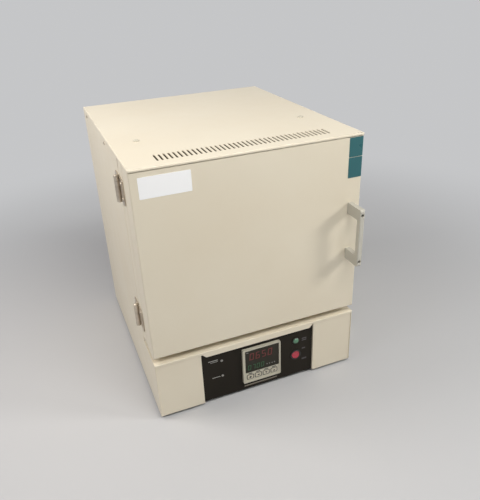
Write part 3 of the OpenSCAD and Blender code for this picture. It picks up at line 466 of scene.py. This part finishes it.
firebrick = coated(
    "firebrick",
    porous,
    {"Body": (0.78, 0.72, 0.61, 1), "Pores": (0.50, 0.44, 0.35, 1), "Pore size": 330.0},
    bump=0.0006,
    specular=0.2,
)
dress(
    firebrick,
    "hearth_block",
    "roof_block",
    "side_block_left",
    "side_block_right",
    "rear_block",
    "door_plug",
)
fibre = coated(
    "ceramic fibre",
    porous,
    {"Body": (0.86, 0.85, 0.81, 1), "Pores": (0.74, 0.73, 0.69, 1), "Pore size": 700.0},
    bump=0.0003,
    specular=0.15,
)
dress(
    fibre,
    "backing_bottom",
    "backing_top",
    "backing_left",
    "backing_right",
    "backing_rear",
    "door_insulation",
)


# Heating elements and thermocouple
# Hairpins of heat-resisting alloy rod in the side walls, and the sheathed
# probe in the back wall. Both are browned by heat. Their ends come out behind
# through glazed bushes, to brass clamps and a cast head.
heated = coated(
    "oxidised alloy",
    plating,
    {"Bright": (0.16, 0.14, 0.12, 1), "Dull": (0.09, 0.075, 0.065, 1), "Grain": 800.0, "Gloss": 0.55},
    bump=0.00006,
    metallic=0.6,
)
dress(heated, "element_left", "element_right", "thermocouple")
bush_glaze = coated(
    "bush glaze",
    coat,
    {"Paint": (0.82, 0.80, 0.75, 1), "Shade": (0.76, 0.73, 0.68, 1), "Peel size": 300.0, "Gloss": 0.2},
    bump=0.00004,
)
dress(bush_glaze, "terminal_bushes")
brass = coated(
    "clamp brass",
    plating,
    {"Bright": (0.70, 0.50, 0.22, 1), "Dull": (0.48, 0.33, 0.14, 1), "Grain": 500.0, "Gloss": 0.32},
    bump=0.00004,
    metallic=1.0,
)
dress(brass, "element_terminals")
cast_alloy = coated(
    "cast alloy",
    plating,
    {"Bright": (0.60, 0.60, 0.60, 1), "Dull": (0.46, 0.46, 0.46, 1), "Grain": 1200.0, "Gloss": 0.42},
    bump=0.00008,
    metallic=1.0,
)
dress(cast_alloy, "thermocouple_head", "heat_sink")


# Control panel
# A black lacquered steel plate in the recess of the base. It carries a
# controller, a lamp, a switch and two indicators. The switch's bezel and the
# kiln's other small housings are black mouldings.
panel_black = coated(
    "black panel lacquer",
    coat,
    {
        "Paint": (0.016, 0.013, 0.009, 1),
        "Shade": (0.021, 0.017, 0.012, 1),
        "Peel size": 1100.0,
        "Gloss": 0.4,
    },
    bump=0.00004,
    specular=0.12,
)
dress(panel_black, "control_panel")
black_plastic = coated(
    "black moulding",
    coat,
    {"Paint": (0.02, 0.02, 0.02, 1), "Shade": (0.03, 0.03, 0.03, 1), "Peel size": 1600.0, "Gloss": 0.5},
    bump=0.00005,
)
dress(
    black_plastic,
    "switch_bezel",
    "controller_case",
    "relay",
    "door_switch",
    "catch_magnet",
    "cable_gland",
)


# Temperature controller
# A square panel controller: a grey moulded bezel, a smoked window with two
# rows of lit figures in it, and four rubbery keys with plain marks. The
# terminal block and the door switch's plunger are moulded in the keys' grey.
bezel_grey = coated(
    "bezel moulding",
    coat,
    {"Paint": (0.54, 0.51, 0.41, 1), "Shade": (0.49, 0.46, 0.37, 1), "Peel size": 1400.0, "Gloss": 0.36},
    bump=0.00005,
)
dress(bezel_grey, "controller_bezel")
key_grey = coated(
    "key rubber",
    coat,
    {"Paint": (0.60, 0.55, 0.44, 1), "Shade": (0.54, 0.49, 0.39, 1), "Peel size": 1800.0, "Gloss": 0.5},
    bump=0.00004,
)
dress(key_grey, "key_1", "key_2", "key_3", "key_4", "terminal_block", "switch_plunger")
window_gloss = coated(
    "smoked window",
    coat,
    {
        "Paint": (0.020, 0.019, 0.012, 1),
        "Shade": (0.026, 0.022, 0.014, 1),
        "Peel size": 200.0,
        "Gloss": 0.16,
    },
    bump=0.00001,
    specular=0.3,
)
dress(window_gloss, "controller_lens")


def lit(name, colour, strength):
    """Figures that glow, a little unevenly, in one colour."""
    grain = 900.0
    dimmer = (*[c * 0.8 for c in colour], 1)
    made, tree, shader = new_material(name)
    shader.inputs["Base Color"].default_value = (*[c * 0.5 for c in colour], 1)
    shader.inputs["Roughness"].default_value = 0.4
    glow = mixed(tree, scaled(tree, noise(tree, grain), 0.0, 1.0), (*colour, 1), dimmer)
    tree.links.new(glow, shader.inputs["Emission Color"])
    shader.inputs["Emission Strength"].default_value = strength
    return made


red_glow = lit("red digits", (0.20, 0.018, 0.014), 0.22)
green_glow = lit("green digits", (0.015, 0.11, 0.035), 0.25)

# Segments lit for each figure: a is the top bar, then clockwise, with g in
# the middle
figures = {"0": "abcdef", "5": "afgcd", "6": "afgcde", "7": "abc"}
figure_lean = 0.1
figure_proud = 0.00006


def segment_figures(name, text, left, foot, width, height, thick, pitch, material):
    """A row of seven-segment figures on the window's face, as one piece."""
    lens_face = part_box("controller_lens")[0].y
    half = height / 2
    gap = thick * 0.12
    bm = bmesh.new()
    for place, figure in enumerate(text):
        x0 = left + place * pitch
        spans = {
            "a": (x0 + thick, x0 + width - thick, height - thick, height),
            "g": (x0 + thick, x0 + width - thick, half - thick / 2, half + thick / 2),
            "d": (x0 + thick, x0 + width - thick, 0, thick),
            "b": (x0 + width - thick, x0 + width, half + gap, height - gap),
            "c": (x0 + width - thick, x0 + width, gap, half - gap),
            "f": (x0, x0 + thick, half + gap, height - gap),
            "e": (x0, x0 + thick, gap, half - gap),
        }
        for letter in figures[figure]:
            x1, x2, z1, z2 = spans[letter]
            corners = []
            for x, z in ((x1, z1), (x2, z1), (x2, z2), (x1, z2)):
                point = on_kiln(x + figure_lean * z, 0, foot + z)
                point.y = lens_face - figure_proud
                corners.append(bm.verts.new(point))
            bm.faces.new(corners)
    made = mesh_object(name, bm, material)
    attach(made, "cabinet")


segment_figures("upper_figures", "0650", -26.5, 85.5, 10.5, 19.0, 2.1, 15.4, red_glow)
segment_figures("lower_figures", "0700", -31.0, 57.5, 7.6, 14.0, 1.6, 11.0, green_glow)


# Plain marks of the controller
# A dark border round the window, small bars and dots in it, and outlines and
# plain signs at the keys: thin paint, printed on the mouldings.
def printed(name, colour):
    worn = (*[c * 0.9 for c in colour], 1)
    return coated(
        name,
        coat,
        {"Paint": (*colour, 1), "Shade": worn, "Peel size": 2500.0, "Gloss": 0.5},
        bump=0.00001,
    )


white_print = printed("pale print", (0.34, 0.335, 0.31))
dark_print = printed("dark print", (0.03, 0.03, 0.028))
print_proud = 0.00005


def flat_marks(name, shapes, face_y, material, body):
    """Flat outlines, each a list of x and z in millimetres, on a face that looks forwards."""
    bm = bmesh.new()
    for outline in shapes:
        corners = []
        for x, z in outline:
            point = on_kiln(x, 0, z)
            point.y = face_y - print_proud
            corners.append(bm.verts.new(point))
        bm.faces.new(corners)
    bmesh.ops.recalc_face_normals(bm, faces=bm.faces)
    for face in bm.faces:
        if face.normal.y > 0:
            face.normal_flip()
    made = mesh_object(name, bm, material)
    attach(made, body)


def bar(x1, x2, z1, z2):
    """A plain rectangle's outline."""
    return [(x1, z1), (x2, z1), (x2, z2), (x1, z2)]


def rounded(x1, x2, z1, z2, radius, steps=5):
    """A rectangle's outline with round corners."""
    points = []
    for x, z, start in (
        (x2 - radius, z2 - radius, 0),
        (x1 + radius, z2 - radius, 90),
        (x1 + radius, z1 + radius, 180),
        (x2 - radius, z1 + radius, 270),
    ):
        for i in range(steps + 1):
            turn = math.radians(start + 90 * i / steps)
            points.append((x + radius * math.cos(turn), z + radius * math.sin(turn)))
    return points


def border(outer, inner):
    """The flat band between two outlines of as many points, as four-cornered shapes."""
    count = len(outer)
    return [
        [outer[i], outer[(i + 1) % count], inner[(i + 1) % count], inner[i]] for i in range(count)
    ]


def disc(x, z, radius, steps=16):
    """A round dot's outline."""
    return [
        (x + radius * math.cos(2 * math.pi * i / steps), z + radius * math.sin(2 * math.pi * i / steps))
        for i in range(steps)
    ]


window_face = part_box("controller_lens")[0].y
inset_depth = 0.0012
inset_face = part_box("controller_bezel")[0].y + inset_depth
flat_marks(
    "window_border",
    border(rounded(-36.8, 48.9, 50.8, 114.2, 2.0), rounded(-34.8, 45.2, 52.4, 110.4, 2.4)),
    inset_face,
    window_gloss,
    "cabinet",
)
keys_middle = 5
key_pitch = 20.4
key_shapes = []
for i in range(4):
    key_x = keys_middle + (i - 1.5) * key_pitch
    ring_outside = rounded(key_x - 9.0, key_x + 9.0, 30.6, 44.4, 3.0)
    ring_inside = rounded(key_x - 7.4, key_x + 7.4, 32.2, 42.8, 2.4)
    key_shapes += border(ring_outside, ring_inside)
    key_shapes.append(bar(key_x - 5.0, key_x + 5.0, 46.0, 48.6))
flat_marks("key_outlines", key_shapes, inset_face, dark_print, "cabinet")
flat_marks(
    "window_marks",
    [bar(-33.5, -28.5, 107.6, 109.2)] + [disc(18 + 6.5 * i, 61, 1.2) for i in range(4)],
    window_face,
    white_print,
    "cabinet",
)
for number, shape in enumerate(
    (
        disc(-25.6, 37.5, 2.9, 24),
        [(-8.4, 37.5), (-2.6, 40.6), (-2.6, 34.4)],
        [(12.0, 40.2), (18.4, 40.2), (15.2, 34.8)],
        [(32.4, 34.9), (38.8, 34.9), (35.6, 40.4)],
    ),
    start=1,
):
    key_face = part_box(f"key_{number}")[0].y
    flat_marks(f"key_mark_{number}", [shape], key_face, dark_print, f"key_{number}")


# Legends of the panel
# Plain printed bars beside the lamp, the switch and the two indicators, and a
# pale strip under the controller.
panel_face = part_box("control_panel")[0].y
flat_marks(
    "indicator_legends",
    [bar(-124, -101, 108.6, 110.8), bar(-119, -101, 104.6, 106.0), bar(-117, -97.5, 59.6, 61.6)],
    panel_face,
    white_print,
    "cabinet",
)
faint_print = printed("faint print", (0.075, 0.068, 0.072))
flat_marks(
    "switch_legends",
    [
        bar(112.5, 125, 99.2, 102.2),
        bar(112.5, 125, 94.0, 97.0),
        bar(113, 122, 69.5, 73.5),
        bar(113, 126, 37.5, 42.0),
    ],
    panel_face,
    faint_print,
    "cabinet",
)
strip_print = printed("strip print", (0.27, 0.235, 0.18))
flat_marks("panel_strip", [bar(-39, 46, 7.0, 10.6)], panel_face, strip_print, "cabinet")


# Lamp, mains switch and indicators
# A domed green lens, a red rocker that is lit from inside when the kiln is on,
# and two small unlit lenses: clear-coated mouldings. The lamp has a dark ring.
def moulded_lens(name, colour, shade, glow, strength):
    """A glossy moulding that may glow a little from inside."""
    made = coated(
        name,
        coat,
        {"Paint": (*colour, 1), "Shade": (*shade, 1), "Peel size": 300.0, "Gloss": 0.14},
        bump=0.00001,
    )
    shader = made.node_tree.nodes["Principled BSDF"]
    shader.inputs["Coat Weight"].default_value = 0.5
    shader.inputs["Coat Roughness"].default_value = 0.08
    shader.inputs["Emission Color"].default_value = (*glow, 1)
    shader.inputs["Emission Strength"].default_value = strength
    return made


green_lens = moulded_lens("green lens", (0.11, 0.24, 0.15), (0.07, 0.17, 0.10), (0.05, 0.22, 0.10), 0.10)
dress(green_lens, "pilot_lamp_lens")
red_rocker = moulded_lens(
    "red rocker", (0.42, 0.028, 0.055), (0.36, 0.022, 0.042), (0.5, 0.02, 0.04), 0.05
)
dress(red_rocker, "switch_rocker")
unlit_lens = moulded_lens("unlit lens", (0.30, 0.29, 0.27), (0.24, 0.23, 0.21), (0, 0, 0), 0.0)
dress(unlit_lens, "indicators")
lamp_ring = coated(
    "lamp ring",
    coat,
    {"Paint": (0.03, 0.035, 0.03, 1), "Shade": (0.04, 0.04, 0.035, 1), "Peel size": 1200.0, "Gloss": 0.3},
    bump=0.00003,
)
dress(lamp_ring, "pilot_lamp_bezel")


# Handle and door seal
# The handle is cast and stoved alloy with dark socket screws, and a woven
# glass rope seals the door against the front frame.
handle_grey = coated(
    "handle stoving",
    coat,
    {"Paint": (0.55, 0.53, 0.46, 1), "Shade": (0.50, 0.48, 0.415, 1), "Peel size": 900.0, "Gloss": 0.34},
    bump=0.00006,
)
dress(handle_grey, "handle")
dark_steel = coated(
    "blackened steel",
    plating,
    {"Bright": (0.07, 0.07, 0.065, 1), "Dull": (0.04, 0.04, 0.038, 1), "Grain": 900.0, "Gloss": 0.4},
    bump=0.00003,
    metallic=0.8,
)
dress(dark_steel, "handle_screws")
rope = coated(
    "glass rope",
    porous,
    {"Body": (0.80, 0.78, 0.70, 1), "Pores": (0.55, 0.52, 0.45, 1), "Pore size": 900.0},
    bump=0.0004,
    specular=0.2,
)
dress(rope, "door_seal")


# Plates on the door
# Three blank self-adhesive vinyl plates: a white one at the top left and two
# teal ones at the top right, half a millimetre thick with rounded corners.
def thin_plate(name, x1, x2, z1, z2, thick, corner, material, body):
    """A plate on the door's face, in millimetres, its corners and front rim rounded."""
    bm = bmesh.new()
    bmesh.ops.create_cube(bm, size=1)
    bmesh.ops.scale(bm, vec=((x2 - x1) / 1000, thick / 1000, (z2 - z1) / 1000), verts=bm.verts)
    bmesh.ops.translate(bm, vec=on_kiln((x1 + x2) / 2, -thick / 2, (z1 + z2) / 2), verts=bm.verts)
    upright = [e for e in bm.edges if abs(e.verts[0].co.y - e.verts[1].co.y) > thick / 2000]
    bmesh.ops.bevel(
        bm, geom=upright, offset=corner / 1000, affect="EDGES", segments=6, profile=0.5, material=-1
    )
    front = min(v.co.y for v in bm.verts)
    rim = [e for e in bm.edges if all(abs(v.co.y - front) < 1e-6 for v in e.verts)]
    bmesh.ops.bevel(
        bm, geom=rim, offset=thick * 0.3 / 1000, affect="EDGES", segments=2, profile=0.5, material=-1
    )
    made = mesh_object(name, bm, material)
    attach(made, body)


white_vinyl = coated(
    "white vinyl",
    coat,
    {"Paint": (0.96, 0.965, 0.97, 1), "Shade": (0.955, 0.96, 0.966, 1), "Peel size": 500.0, "Gloss": 0.6},
    bump=0.00002,
)
plate_thick = 0.5
white_corner = 1.5
teal_corner = 1.2
thin_plate(
    "white_plate", -228.7, -128, 526, 568, plate_thick, white_corner, white_vinyl, "door"
)
teal_vinyl = coated(
    "teal vinyl",
    coat,
    {"Paint": (0.028, 0.135, 0.145, 1), "Shade": (0.022, 0.115, 0.13, 1), "Peel size": 500.0, "Gloss": 0.3},
    bump=0.00002,
)
for place, low, high in (("upper", 536, 577.5), ("lower", 490.5, 535)):
    thin_plate(
        f"teal_plate_{place}",
        211.5,
        243.5,
        low,
        high,
        plate_thick,
        teal_corner,
        teal_vinyl,
        "door",
    )
